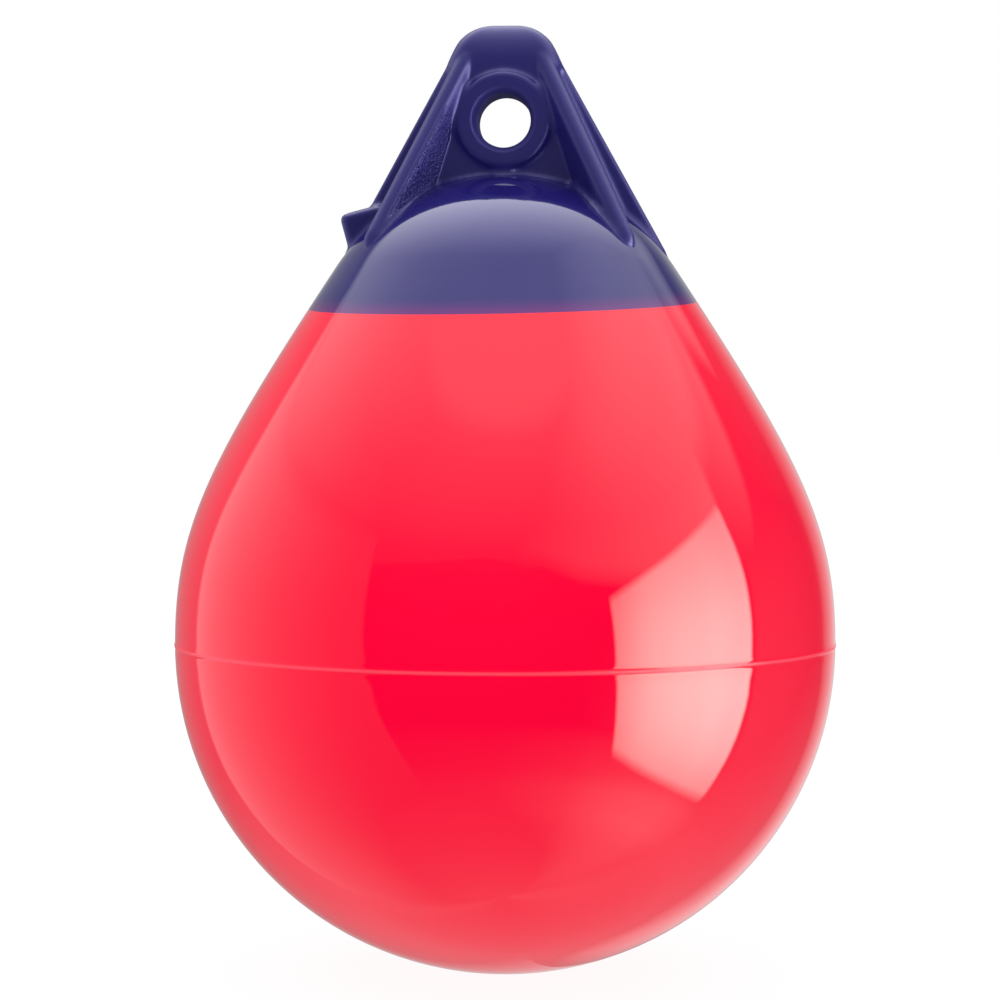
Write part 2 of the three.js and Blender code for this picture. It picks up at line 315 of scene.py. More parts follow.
def turned_body():
    """A circle's lower quarter, carried up the flank and over the crown, then spun."""
    deselect_all()
    bpy.ops.mesh.primitive_circle_add(
        vertices=4 * ARC_STEPS, radius=BALL_RADIUS,
        location=(0, 0, BALL_CENTRE), rotation=UPRIGHT)
    body = named("body")
    edit(body)
    highest = BALL_CENTRE - PARTING_ROOM
    pick("VERT", lambda v: v.co.x < -CLOSE or v.co.z > highest)
    bpy.ops.mesh.delete(type="VERT")
    mesh = bmesh.from_edit_mesh(body.data)
    top = max(v.co.z for v in mesh.verts)
    here = next(v.co.copy() for v in mesh.verts if v.co.z == top)
    path = parting_bead()
    path += [flank_point((i + 1) / FLANK_STEPS) for i in range(FLANK_STEPS)]
    path += [crown_point((i + 1) / CROWN_STEPS) for i in range(CROWN_STEPS)]
    pick("VERT", lambda v: v.co.z > top - CLOSE)
    for there in path:
        bpy.ops.mesh.extrude_vertices_move(
            TRANSFORM_OT_translate={"value": there - here})
        here = there
    bpy.ops.mesh.select_all(action="SELECT")
    bpy.ops.mesh.spin(
        steps=BALL_TURNS, angle=2 * math.pi, center=(0, 0, 0), axis=(0, 0, 1))
    face_outwards()
    done()
    return body


def keep_side(piece, above, point=JOINT_POINT, normal=JOINT_NORMAL, fill=False):
    """Cuts a piece at a plane, and keeps what is above it or below it."""
    edit(piece)
    bpy.ops.mesh.select_all(action="SELECT")
    bpy.ops.mesh.bisect(plane_co=point, plane_no=normal, use_fill=fill,
                        clear_inner=above, clear_outer=not above)
    done()


def with_wall(piece, thickness):
    finish_with(piece, "SOLIDIFY", thickness=thickness, offset=-1, use_even_offset=True)
    smooth_below(piece, BODY_SMOOTH_ANGLE)


# Lug

CORNER_OUT = LUG_TOP_FLAT / 2
CORNER_UP = LUG_TOP - LUG_CORNER_RADIUS
TO_SHOULDER = Vector((SHOULDER.x - CORNER_OUT, SHOULDER.z - CORNER_UP))
WEB_SLOPE = (math.atan2(TO_SHOULDER.y, TO_SHOULDER.x)
             + math.acos(LUG_CORNER_RADIUS / TO_SHOULDER.length))
WEB_EDGE = CORNER_OUT + LUG_CORNER_RADIUS * math.cos(WEB_SLOPE)
WEB_EDGE_HEIGHT = CORNER_UP + LUG_CORNER_RADIUS * math.sin(WEB_SLOPE)
LUG_BOTTOM = SHOULDER.z - CAP_WALL
RIB_FOOT_HEIGHT = SHOULDER.z + RIB_FOOT_ABOVE_SHOULDER
RIB_FOOT_REACH = RIB_FOOT_PROUD + math.sqrt(
    CROWN_RADIUS ** 2 - (RIB_FOOT_HEIGHT - CROWN_CENTRE) ** 2)
RIB_DROP = RIB_TOP - RIB_FOOT_HEIGHT
RIB_SPREAD = (RIB_FOOT_REACH * math.cos(RIB_FOOT_TURN) - RIB_START_OUT) / RIB_DROP
RIB_LEAN = (RIB_FOOT_REACH * math.sin(RIB_FOOT_TURN) - PLATE_HALF_THICKNESS) / RIB_DROP


def half_width_at(height):
    """Half the lug's width, from its round corners down the webs to the shoulder."""
    if height <= WEB_EDGE_HEIGHT:
        return WEB_EDGE + (WEB_EDGE_HEIGHT - height) * math.tan(WEB_SLOPE)
    up = height - CORNER_UP
    return CORNER_OUT + math.sqrt(max(0, LUG_CORNER_RADIUS ** 2 - up ** 2))


def rib():
    """A leaning wall with a round crest and a round foot, mirrored to all four ribs."""
    piece = block(
        "rib",
        (RIB_START_OUT - RIB_HALF_WIDTH, -PLATE_HALF_THICKNESS, RIB_FOOT_HEIGHT),
        (RIB_START_OUT + RIB_HALF_WIDTH, 0, RIB_TOP))
    halfway = (RIB_TOP + RIB_FOOT_HEIGHT) / 2
    front = -PLATE_HALF_THICKNESS / 2
    foot_depth = PLATE_HALF_THICKNESS + RIB_LEAN * RIB_DROP
    edit(piece)
    pick("VERT", lambda v: v.co.z < halfway)
    move(x=RIB_SPREAD * RIB_DROP)
    pick("VERT", lambda v: v.co.z < halfway and v.co.y < front)
    move(y=-RIB_LEAN * RIB_DROP)
    inner = RIB_START_OUT
    pick("VERT", lambda v: v.co.z > halfway and v.co.y > front and v.co.x < inner)
    move(x=-PLATE_HALF_THICKNESS * math.tan(RIB_DRAFT))
    inner = RIB_START_OUT + RIB_SPREAD * RIB_DROP
    pick("VERT", lambda v: v.co.z < halfway and v.co.y > front and v.co.x < inner)
    move(x=-foot_depth * math.tan(RIB_DRAFT))
    pick("FACE", lambda f: f.normal.z < -0.9)
    draw_out(z=-RIB_SINK)
    pick("EDGE", lambda e: abs(middle(e).z - RIB_FOOT_HEIGHT) < CLOSE
         and middle(e).y < -0.99 * foot_depth)
    bpy.ops.mesh.bevel(offset=RIB_FOOT_ROUND, segments=5)
    pick("EDGE", lambda e: between(e, lambda n: n.y < -0.3 and abs(n.x) < 0.3,
                                   lambda n: abs(n.x) > 0.5 and n.y > -0.6))
    bpy.ops.mesh.bevel(offset=RIB_CREST_ROUND, segments=7, clamp_overlap=True)
    done()
    finish_with(piece, "MIRROR", use_axis=(True, True, False), use_mirror_merge=False)
    return piece


def spread_foot(spread):
    """Moves the lower corners of the piece in edit mode apart."""
    for side in (-1, 1):
        pick("VERT", lambda v: v.co.z < 0 and v.co.x * side > 0)
        move(x=side * spread)


def plate():
    """The lug's middle, whose faces are the floors of the pockets."""
    piece = block("plate", (-RIB_START_OUT, -PLATE_HALF_THICKNESS, PLATE_BOTTOM),
                  (RIB_START_OUT, PLATE_HALF_THICKNESS, PLATE_TOP))
    edit(piece)
    spread_foot(RIB_SPREAD * (RIB_TOP - PLATE_BOTTOM))
    done()
    return piece


def webs():
    """The two thin side walls, as one flat block with rounded outer edges."""
    piece = block("webs", (-WEB_EDGE, -WEB_HALF_THICKNESS, LUG_BOTTOM),
                  (WEB_EDGE, WEB_HALF_THICKNESS, WEB_EDGE_HEIGHT))
    edit(piece)
    spread_foot(half_width_at(LUG_BOTTOM) - WEB_EDGE)
    pick("EDGE", lambda e: between(e, lambda n: abs(n.y) > 0.9, lambda n: abs(n.x) > 0.5))
    bpy.ops.mesh.bevel(offset=WEB_EDGE_ROUND, segments=3)
    done()
    return piece


def lug_cap():
    """The rounded bar over the eye: a plane with round corners, drawn up in steps that
    narrow in width with the lug's outline and in depth like an ellipse."""
    bottom = LUG_TOP - LUG_CAP_HEIGHT

    def size_at(height):
        rounded = height - LUG_TOP + LUG_CAP_ROUNDING
        up = max(0, rounded / (LUG_CAP_ROUNDING * LUG_CAP_FLAT_END))
        down = max(0, min(1, (LUG_TOP - height) / LUG_CAP_HEIGHT))
        half_width = half_width_at(height) + LUG_CAP_BULGE * math.sin(math.pi * down)
        return half_width, PLATE_HALF_THICKNESS * math.sqrt(1 - up ** LUG_CAP_FULLNESS)

    width, depth = size_at(bottom)
    start = bottom - LUG_CAP_SKIRT
    deselect_all()
    bpy.ops.mesh.primitive_plane_add(size=2, location=(0, 0, start))
    piece = named("lug_cap")
    edit(piece)
    bpy.ops.mesh.select_all(action="SELECT")
    bpy.ops.transform.resize(value=(width, depth, 1))
    bpy.ops.mesh.bevel(offset=LUG_CAP_CORNER, affect="VERTICES", segments=6)
    bpy.ops.mesh.select_all(action="SELECT")
    here = start
    for i in range(LUG_CAP_STEPS + 1):
        there = bottom + LUG_CAP_HEIGHT * math.sin(math.pi / 2 * i / LUG_CAP_STEPS)
        new_width, new_depth = size_at(there)
        draw_out(z=there - here)
        bpy.ops.transform.resize(
            value=(new_width / width, new_depth / depth, 1), center_override=(0, 0, there))
        here, width, depth = there, new_width, new_depth
    face_outwards()
    done()
    return piece


def eye_ring():
    """The raised ring as a disc with rounded rims; the bore is cut later."""
    deselect_all()
    bpy.ops.mesh.primitive_cylinder_add(
        vertices=EYE_TURNS, radius=RING_RADIUS, depth=2 * RING_FACE, rotation=UPRIGHT)
    piece = named("eye_ring")
    edit(piece)
    pick("EDGE", lambda e: between(e, lambda n: abs(n.y) > 0.9, lambda n: abs(n.y) < 0.1))
    bpy.ops.mesh.bevel(offset=RING_ROUND, segments=4)
    done()
    return piece


def eye_bore():
    """The cutter for the eye: a round bar whose ends flare into belled mouths."""
    waist = RING_FACE - EYE_MOUTH_DEPTH
    deselect_all()
    bpy.ops.mesh.primitive_cylinder_add(
        vertices=EYE_TURNS, radius=EYE_RADIUS, depth=2 * waist, rotation=UPRIGHT)
    piece = named("eye_bore")
    edit(piece)
    for side in (-1, 1):
        pick("FACE", lambda f: f.normal.y * side > 0.9
             and f.calc_center_median().y * side > 0)
        here, radius = waist, EYE_RADIUS
        for i in range(1, EYE_MOUTH_STEPS + 1):
            angle = EYE_MOUTH_TURN * i / EYE_MOUTH_STEPS
            there = waist + EYE_MOUTH_DEPTH * math.sin(angle) * EYE_MOUTH_PAST_FACE
            grown = EYE_MOUTH_RADIUS - (EYE_MOUTH_RADIUS - EYE_RADIUS) * math.cos(angle)
            draw_out(y=side * (there - here))
            bpy.ops.transform.resize(
                value=(grown / radius, 1, grown / radius),
                center_override=(0, side * there, 0))
            here, radius = there, grown
        draw_out(y=side * CUTTER_BEYOND)
    face_outwards()
    done()
    return piece


BOSS_UP = SHOULDER.z + BOSS_ABOVE_SHOULDER
BOSS_OUT = half_width_at(BOSS_UP) + BOSS_BEYOND_WEB


def lean_with_boss(piece):
    """Stands a piece that was made upright over the origin on the leaning boss."""
    choose(piece)
    piece.rotation_euler = (BOSS_LEAN, -BOSS_TILT, 0)
    piece.location = (-BOSS_OUT, 0, BOSS_UP)
    bpy.ops.object.transform_apply(location=True, rotation=True, scale=True)
    return piece


def valve_boss():
    """The block that holds the valve, with rounded corners and top edge."""
    piece = block("valve_boss", (-BOSS_WIDTH / 2, -BOSS_DEPTH / 2, -BOSS_LENGTH),
                  (BOSS_WIDTH / 2, BOSS_DEPTH / 2, 0))
    edit(piece)
    pick("EDGE", lambda e: between(e, lambda n: abs(n.x) > 0.9, lambda n: abs(n.y) > 0.9))
    bpy.ops.mesh.bevel(offset=BOSS_CORNER, segments=6)
    pick("EDGE", lambda e: between(e, lambda n: n.z > 0.9, lambda n: abs(n.z) < 0.1))
    bpy.ops.mesh.bevel(offset=BOSS_EDGE_ROUND, segments=6)
    done()
    return lean_with_boss(piece)


def valve_seat():
    """The cutter for the valve: a wide recess with a narrower bore under it."""
    above = BOSS_EDGE_ROUND
    deselect_all()
    bpy.ops.mesh.primitive_cylinder_add(
        vertices=SEAT_TURNS, radius=SEAT_RADIUS, depth=SEAT_DEPTH + above,
        location=(-VALVE_OFF_CENTRE, 0, (above - SEAT_DEPTH) / 2))
    piece = named("valve_seat")
    edit(piece)
    pick("FACE", lambda f: f.normal.z < -0.9)
    bpy.ops.mesh.inset(thickness=SEAT_RADIUS - SEAT_BORE_RADIUS)
    draw_out(z=-SEAT_BORE_DEPTH)
    face_outwards()
    done()
    return lean_with_boss(piece)


def rope_lug(body):
    """The lug, ribs, webs, ring and boss as one moulding on the cap."""
    ground = copy_of(body, "ground")
    crown = copy_of(body, "crown")
    for piece, height in ((ground, GROUND_BOTTOM), (crown, CROWN_BOTTOM)):
        keep_side(piece, above=True, point=Vector((0, 0, height)),
                  normal=Vector((0, 0, 1)), fill=True)
        choose(piece)
        bpy.ops.object.shade_smooth()
    lug = join("lug_skin", plate(), rib(), webs(), lug_cap(), eye_ring(), valve_boss(),
               crown)
    finish_with(lug, "REMESH", mode="VOXEL", voxel_size=GRID)
    for way in (1, -1):
        finish_with(lug, "DISPLACE", strength=way * CORNER_FILL, mid_level=0)
        finish_with(lug, "REMESH", mode="VOXEL", voxel_size=GRID)
    finish_with(lug, "SMOOTH", factor=0.5, iterations=SMOOTH_PASSES)
    # Near the cap the moulding dips just under the cap's own smooth surface, and what
    # is under that surface is cut away
    near = lug.vertex_groups.new(name="near_cap")
    near.add(range(len(lug.data.vertices)), 1.0, "REPLACE")
    finish_with(lug, "VERTEX_WEIGHT_PROXIMITY", vertex_group="near_cap", target=ground,
                proximity_mode="GEOMETRY", proximity_geometry={"FACE"},
                min_dist=BLEND_HEIGHT, max_dist=0, falloff_type="SMOOTH")
    finish_with(lug, "SHRINKWRAP", target=ground, wrap_method="NEAREST_SURFACEPOINT",
                wrap_mode="ABOVE_SURFACE", offset=-SUNK, vertex_group="near_cap")
    finish_with(ground, "DISPLACE", strength=-GROUND_SUNK, mid_level=0)
    cut(lug, ground)
    cut(lug, eye_bore())
    cut(lug, valve_seat())
    smooth_below(lug, LUG_SMOOTH_ANGLE)
    lug.vertex_groups.clear()
    return lug


# Materials

def node(tree, kind, settings=None, **values):
    """Adds a node; a value goes to the input with its name, or i0, i1 ... by number."""
    added = tree.nodes.new(kind)
    for key, value in (settings or {}).items():
        setattr(added, key, value)
    for key, value in values.items():
        numbered = key[0] == "i" and key[1:].isdigit()
        target = added.inputs[int(key[1:]) if numbered else key.replace("_", " ")]
        if isinstance(value, bpy.types.NodeSocket):
            tree.links.new(value, target)
        else:
            target.default_value = value
    return added


def maths(tree, operation, *values):
    return node(tree, "ShaderNodeMath", {"operation": operation},
                **{f"i{i}": value for i, value in enumerate(values)}).outputs[0]


def mask(tree, value, off, on, kind="LINEAR"):
    """Nothing where a value is at or past one mark, all where it is at or past another."""
    return node(tree, "ShaderNodeMapRange", {"interpolation_type": kind}, Value=value,
                i1=off, i2=on, i3=0.0, i4=1.0).outputs[0]


def mix(tree, share, colour, other):
    return node(tree, "ShaderNodeMix", {"data_type": "RGBA"}, i0=share, i6=colour,
                i7=other).outputs[2]


def moulded_skin():
    """Shared by all the finishes: slow ripples and fine grain, as height, and a mottle."""
    group = bpy.data.node_groups.new("moulded_skin", "ShaderNodeTree")
    for name, kind, default in (
            ("Place", "NodeSocketVector", None), ("Ripple Scale", "NodeSocketFloat", 30.0),
            ("Grain Scale", "NodeSocketFloat", 900.0), ("Grain Share", "NodeSocketFloat", 0.1)):
        made = group.interface.new_socket(name=name, in_out="INPUT", socket_type=kind)
        if default is not None:
            made.default_value = default
    for name in ("Height", "Mottle"):
        group.interface.new_socket(name=name, in_out="OUTPUT", socket_type="NodeSocketFloat")
    given = group.nodes.new("NodeGroupInput").outputs
    put = group.nodes.new("NodeGroupOutput").inputs
    ripple = node(group, "ShaderNodeTexNoise", Vector=given["Place"],
                  Scale=given["Ripple Scale"], Detail=2.0, Roughness=0.4).outputs["Fac"]
    grain = node(group, "ShaderNodeTexNoise", Vector=given["Place"],
                 Scale=given["Grain Scale"], Detail=3.0, Roughness=0.6).outputs["Fac"]
    mottle = node(group, "ShaderNodeTexNoise", Vector=given["Place"],
                  Scale=14.0, Detail=4.0, Roughness=0.55).outputs["Fac"]
    fine = maths(group, "MULTIPLY", grain, given["Grain Share"])
    group.links.new(maths(group, "ADD", ripple, fine), put["Height"])
    group.links.new(mottle, put["Mottle"])
    return group


def finish(name, colours, shine, roughness, ripple_scale, ripple_height, grain_scale,
           grain_share):
    """A moulded finish, mottled between two colours; shine tints what it reflects."""
    material = bpy.data.materials.new(name)
    material.use_nodes = True
    tree = material.node_tree
    tree.nodes.clear()
    out = tree.nodes.new("ShaderNodeOutputMaterial")
    shader = tree.nodes.new("ShaderNodeBsdfPrincipled")
    tree.links.new(shader.outputs[0], out.inputs["Surface"])
    place = tree.nodes.new("ShaderNodeTexCoord").outputs["Object"]
    skin = node(tree, "ShaderNodeGroup", {"node_tree": SKIN}, Place=place,
                Ripple_Scale=ripple_scale, Grain_Scale=grain_scale, Grain_Share=grain_share)
    colour = mix(tree, skin.outputs["Mottle"], *colours)
    bump = node(tree, "ShaderNodeBump", Strength=1.0, Distance=ripple_height,
                Height=skin.outputs["Height"]).outputs[0]
    tree.links.new(bump, shader.inputs["Normal"])
    tree.links.new(colour, shader.inputs["Base Color"])
    shader.inputs["Roughness"].default_value = roughness
    shader.inputs["IOR"].default_value = 1.5
    shader.inputs["Specular Tint"].default_value = shine
    return material, tree, shader.inputs, place, colour, bump


SKIN = moulded_skin()

RED = (0.91, 0.001, 0.036, 1), (0.94, 0.002, 0.042, 1)
RED_SHINE = (1, 1, 0.88, 1)
RED_ROUGHNESS = 0.024
PARTING_RED = (0.96, 0.035, 0.085, 1)
PARTING_ROUGHER = 0.3

CAP_BLUE = (0.012, 0.009, 0.113, 1), (0.015, 0.011, 0.130, 1)
CAP_ROUGHNESS = 0.05
BLUE_SHINE = (0.94, 0.91, 1.28, 1)
HAZE_PURPLE = (0.13, 0.008, 0.14, 1)
HAZE_FROM, HAZE_TO = -0.003, 0.0095

LUG_BLUE = (0.011, 0.009, 0.112, 1), (0.016, 0.012, 0.136, 1)
LUG_ROUGHNESS = 0.36
BORE_ROUGHER = 0.62
INNER_WALL_ROUGHER = 0.22
PEBBLE_SCALE = 620.0
PEBBLE_HEIGHT = 0.0016

PLAIN_SHINE = (1, 1, 1, 1)
BLACK = (0.02, 0.02, 0.024, 1), (0.03, 0.03, 0.034, 1)
WHITE = (0.66, 0.66, 0.68, 1), (0.72, 0.72, 0.74, 1)


def red_vinyl():
    """The ball's red, paler and duller along the raised line that the mould leaves."""
    material, tree, shader, place, colour, _ = finish(
        "red_vinyl", RED, RED_SHINE, RED_ROUGHNESS, ripple_scale=26.0,
        ripple_height=0.00008, grain_scale=700.0, grain_share=0.03)
    height = node(tree, "ShaderNodeSeparateXYZ", i0=place).outputs[2]
    away = maths(tree, "ABSOLUTE", maths(tree, "SUBTRACT", height, BALL_CENTRE))
    line = mask(tree, away, 0.42 * PARTING_WIDTH, 0.2 * PARTING_WIDTH)
    tree.links.new(maths(tree, "MULTIPLY_ADD", line, PARTING_ROUGHER, RED_ROUGHNESS),
                   shader["Roughness"])
    tree.links.new(mix(tree, line, colour, PARTING_RED), shader["Base Color"])
    return material


def cap_vinyl():
    """The cap's blue, with a purple haze where the red shows through above the joint."""
    material, tree, shader, place, colour, _ = finish(
        "blue_vinyl_cap", CAP_BLUE, BLUE_SHINE, CAP_ROUGHNESS, ripple_scale=45.0,
        ripple_height=0.00008, grain_scale=900.0, grain_share=0.06)
    above = node(tree, "ShaderNodeVectorMath", {"operation": "DOT_PRODUCT"}, i0=place,
                 i1=JOINT_NORMAL).outputs["Value"]
    joint = JOINT_NORMAL.dot(JOINT_POINT)
    haze = mask(tree, above, joint + HAZE_TO, joint + HAZE_FROM, "SMOOTHERSTEP")
    tree.links.new(mix(tree, haze, colour, HAZE_PURPLE), shader["Base Color"])
    return material


def lug_vinyl():
    """The lug's blue: duller than the cap, rough in the bore, and rough and pebbled on
    the inner wall of the left ribs."""
    material, tree, shader, place, _, bump = finish(
        "blue_vinyl_lug", LUG_BLUE, BLUE_SHINE, LUG_ROUGHNESS, ripple_scale=60.0,
        ripple_height=0.00012, grain_scale=1100.0, grain_share=0.12)
    x, _, z = node(tree, "ShaderNodeSeparateXYZ", i0=place).outputs
    facing = node(tree, "ShaderNodeSeparateXYZ",
                  i0=tree.nodes.new("ShaderNodeTexCoord").outputs["Normal"]).outputs[0]
    from_eye = maths(tree, "SQRT", maths(tree, "MULTIPLY_ADD", x, x,
                                         maths(tree, "MULTIPLY", z, z)))
    bore = mask(tree, from_eye, EYE_MOUTH_RADIUS, EYE_RADIUS + 0.001)
    faces_right = mask(tree, facing, 0.45, 0.7)
    left = mask(tree, x, -0.014, -0.017)
    below = mask(tree, z, 0.008, 0.0)
    clear_of_ring = mask(tree, from_eye, 0.028, 0.031)
    inner_wall = maths(tree, "MULTIPLY", faces_right, left)
    pebbled = maths(tree, "MULTIPLY", inner_wall,
                    maths(tree, "MULTIPLY", below, clear_of_ring))
    roughness = maths(tree, "MULTIPLY_ADD", bore, BORE_ROUGHER, LUG_ROUGHNESS)
    tree.links.new(maths(tree, "MULTIPLY_ADD", inner_wall, INNER_WALL_ROUGHER, roughness),
                   shader["Roughness"])
    pebbles = node(tree, "ShaderNodeTexNoise", Vector=place, Scale=PEBBLE_SCALE, Detail=2.0,
                   Roughness=0.5).outputs["Fac"]
    coarse = node(tree, "ShaderNodeBump", Strength=1.0, Distance=PEBBLE_HEIGHT,
                  Height=maths(tree, "MULTIPLY", pebbled, pebbles), Normal=bump).outputs[0]
    tree.links.new(coarse, shader["Normal"])
    return material


def plain_plastic(name, colours, roughness):
    return finish(name, colours, PLAIN_SHINE, roughness, ripple_scale=300.0,
                  ripple_height=0.00003, grain_scale=2500.0, grain_share=0.4)[0]


# Model

body = turned_body()
ball_skin = copy_of(body, "ball_skin")
keep_side(ball_skin, above=False)
with_wall(ball_skin, BALL_WALL)
cap_skin = copy_of(body, "cap_skin")
keep_side(cap_skin, above=True)
with_wall(cap_skin, CAP_WALL)
lug_skin = rope_lug(body)
bpy.data.objects.remove(body)

for piece, material, slot in (
        (ball_skin, red_vinyl(), "red_vinyl"), (cap_skin, cap_vinyl(), "blue_vinyl"),
        (lug_skin, lug_vinyl(), "blue_vinyl")):
    dress(piece, material)
    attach(piece, "root")
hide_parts("ball_shell")
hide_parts("rope_end")
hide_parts("rope_end")
for name, material in (("valve_insert", plain_plastic("black_plastic", BLACK, 0.4)),
                       ("valve_screw", plain_plastic("white_plastic", WHITE, 0.35))):
    for material_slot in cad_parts[name].material_slots:
        material_slot.material = material


# Camera

CAMERA_DISTANCE = 1.450
CAMERA_HEIGHT = -0.163
CAMERA_AZIMUTH = math.radians(4)
CAMERA_PITCH = math.radians(1.88)
CAMERA_LENS = 93.16
CAMERA_SENSOR = 36
AIM_LEFT = 0.00287

back = Vector((math.sin(CAMERA_AZIMUTH), -math.cos(CAMERA_AZIMUTH), 0))
right = Vector((math.cos(CAMERA_AZIMUTH), math.sin(CAMERA_AZIMUTH), 0))
place = back * CAMERA_DISTANCE + Vector((0, 0, CAMERA_HEIGHT))
aim = (-AIM_LEFT * right
       + Vector((0, 0, CAMERA_HEIGHT - CAMERA_DISTANCE * math.tan(CAMERA_PITCH))))
camera = bpy.data.objects.new("camera", bpy.data.cameras.new("camera"))
bpy.context.scene.collection.objects.link(camera)
camera.data.lens = CAMERA_LENS
camera.data.sensor_width = CAMERA_SENSOR
camera.location = place
camera.rotation_euler = (aim - place).to_track_quat("-Z", "Y").to_euler()
bpy.context.scene.camera = camera


# Floor: white paper that mostly glows, so that it keeps only a faint shadow

FLOOR_HEIGHT = BALL_CENTRE - BALL_RADIUS - 0.0005
FLOOR_RADIUS = 9
PAPER_WHITE = (0.8, 0.8, 0.8, 1)
WHITE_LIGHT = (1, 1, 1, 1)
FLOOR_GLOW = 1.04
GLOW_SHARE = 0.7
GLOW_SHARE_SEEN = 0.2

deselect_all()
bpy.ops.mesh.primitive_circle_add(vertices=96, radius=FLOOR_RADIUS, fill_type="NGON",
                                  location=(0, 0, FLOOR_HEIGHT))
floor = named("floor")
floor.visible_glossy = False
floor_material = bpy.data.materials.new("floor_white")
floor_material.use_nodes = True
tree = floor_material.node_tree
tree.nodes.clear()
rays = tree.nodes.new("ShaderNodeLightPath")
paper = node(tree, "ShaderNodeBsdfDiffuse", Color=PAPER_WHITE)
glow = node(tree, "ShaderNodeEmission", Color=WHITE_LIGHT, Strength=FLOOR_GLOW)
share = maths(tree, "MULTIPLY_ADD", rays.outputs["Is Camera Ray"], GLOW_SHARE_SEEN,
              GLOW_SHARE)
mixed = node(tree, "ShaderNodeMixShader", i0=share, i1=paper.outputs[0],
             i2=glow.outputs[0])
out = tree.nodes.new("ShaderNodeOutputMaterial")
tree.links.new(mixed.outputs[0], out.inputs["Surface"])
dress(floor, floor_material)


# Light: a white studio. The camera sees plain white, matt surfaces get a soft light
# from all round, and glossy ones reflect a room of walls, ceiling, tables and a softbox.

world = bpy.data.worlds.new("studio")
bpy.context.scene.world = world
world.use_nodes = True
sky = world.node_tree
sky.nodes.clear()
rays = sky.nodes.new("ShaderNodeLightPath")
way = sky.nodes.new("ShaderNodeTexCoord").outputs["Generated"]
x, y, z = node(sky, "ShaderNodeSeparateXYZ", i0=way).outputs


def ramp(value, *stops):
    """A value read off (at, gives) stops, with straight lines between them."""
    low, high = stops[0][0], stops[-1][0]
    most = max(gives for _, gives in stops)
    curve = sky.nodes.new("ShaderNodeValToRGB")
    share = maths(sky, "DIVIDE", maths(sky, "SUBTRACT", value, low), high - low)
    sky.links.new(share, curve.inputs["Fac"])
    elements = curve.color_ramp.elements
    while len(elements) < len(stops):
        elements.new(0.5)
    for element, (at, _) in zip(elements, stops):
        element.position = (at - low) / (high - low)
    for element, (_, gives) in zip(elements, stops):
        element.color = (gives / most,) * 3 + (1,)
    return maths(sky, "MULTIPLY", curve.outputs[0], most)


def degrees(value):
    return maths(sky, "DEGREES", value)


# Where a ray goes, in degrees. Across is 0 towards the camera and grows to the right,
# and up is the height over the horizon. Over is measured in the middle plane, from the
# camera over the top to the back, and aside is the angle off that plane.
across = degrees(maths(sky, "ARCTAN2", x, maths(sky, "MULTIPLY", y, -1)))
up = degrees(maths(sky, "ARCSINE", z))
over = degrees(maths(sky, "ARCTAN2", z, maths(sky, "MULTIPLY", y, -1)))
aside = degrees(maths(sky, "ARCSINE", x))


def product(*values):
    result = values[0]
    for value in values[1:]:
        result = maths(sky, "MULTIPLY", result, value)
    return result


def brightest(*values):
    result = values[0]
    for value in values[1:]:
        result = maths(sky, "MAXIMUM", result, value)
    return result


def bump(value, centre, width):
    """A round hill, one at its centre."""
    away = maths(sky, "DIVIDE", maths(sky, "SUBTRACT", value, centre), width)
    return maths(sky, "EXPONENT", maths(sky, "MULTIPLY", product(away, away), -1.0))


def direction(angle_across, angle_up):
    turn, rise = math.radians(angle_across), math.radians(angle_up)
    return Vector((math.sin(turn) * math.cos(rise), -math.cos(turn) * math.cos(rise),
                   math.sin(rise)))


def panel(corners, softness):
    """A flat panel with straight sides between its (across, up) corners, which fades
    over a softness at each side."""
    inside = 1.0
    for i, (corner, soft) in enumerate(zip(corners, softness)):
        edge = direction(*corner).cross(direction(*corners[(i + 1) % len(corners)]))
        edge.normalize()
        reach = node(sky, "ShaderNodeVectorMath", {"operation": "DOT_PRODUCT"},
                     i0=way, i1=edge).outputs["Value"]
        within = ramp(reach, (-1, 1), (-soft, 1), (0, 0), (1, 0))
        inside = maths(sky, "MULTIPLY", inside, within)
    return inside


left_edge = ramp(up, (-90, -20), (-44, -30), (-20, -40), (0, -44.6), (90, -44.6))
left_wall = product(
    ramp(across, (-180, 0.8), (-168, 0.45), (-156, 0.32), (-128.2, 0.33), (-127.4, 1.1),
         (-114, 1.03), (-102, 0.98), (-90, 0.84), (-78, 0.66), (-66, 0.51), (-54, 0.35),
         (-46, 0.3), (-30, 0.28), (180, 0.2)),
    ramp(maths(sky, "SUBTRACT", across, left_edge), (-180, 1), (-0.5, 1), (0.5, 0),
         (230, 0)),
    ramp(up, (-90, 0.2), (-76, 0.58), (-60, 0.82), (-20, 0.96), (4, 1.1), (20, 1.28), (28, 1.3),
         (34, 1.0), (90, 1.0)))
right_back = product(
    ramp(across, (-180, 0), (95, 0), (99, 0.5), (114, 0.34), (126, 0.22), (138, 0.13),
         (144, 0.16), (149, 0.5), (156, 0.75), (165, 0.92), (172, 0.8), (180, 0.35)),
    ramp(up, (-90, 0), (-56, 0.3), (-40, 1.0), (-20, 1.05), (4, 0.75), (20, 0.45), (90, 0.4)))
upper_left = product(
    ramp(across, (-180, 0), (-129, 0), (-127.4, 1.85), (-114, 1.8), (-102, 1.7), (-90, 1.4),
         (-78, 1.06), (-66, 0.8), (-54, 0.66), (-44, 0.5), (-30, 0), (180, 0)),
    ramp(up, (-90, 0), (20, 0), (28, 0.4), (36, 0.76), (44, 1.0), (52, 1.05), (90, 1.05)))
right_limit = ramp(across, (-180, 20), (18, 22), (30, 17), (42, 15), (60, 12), (88, 12),
                   (95, 22), (99, 30), (130, 30), (138, 24), (180, 24))
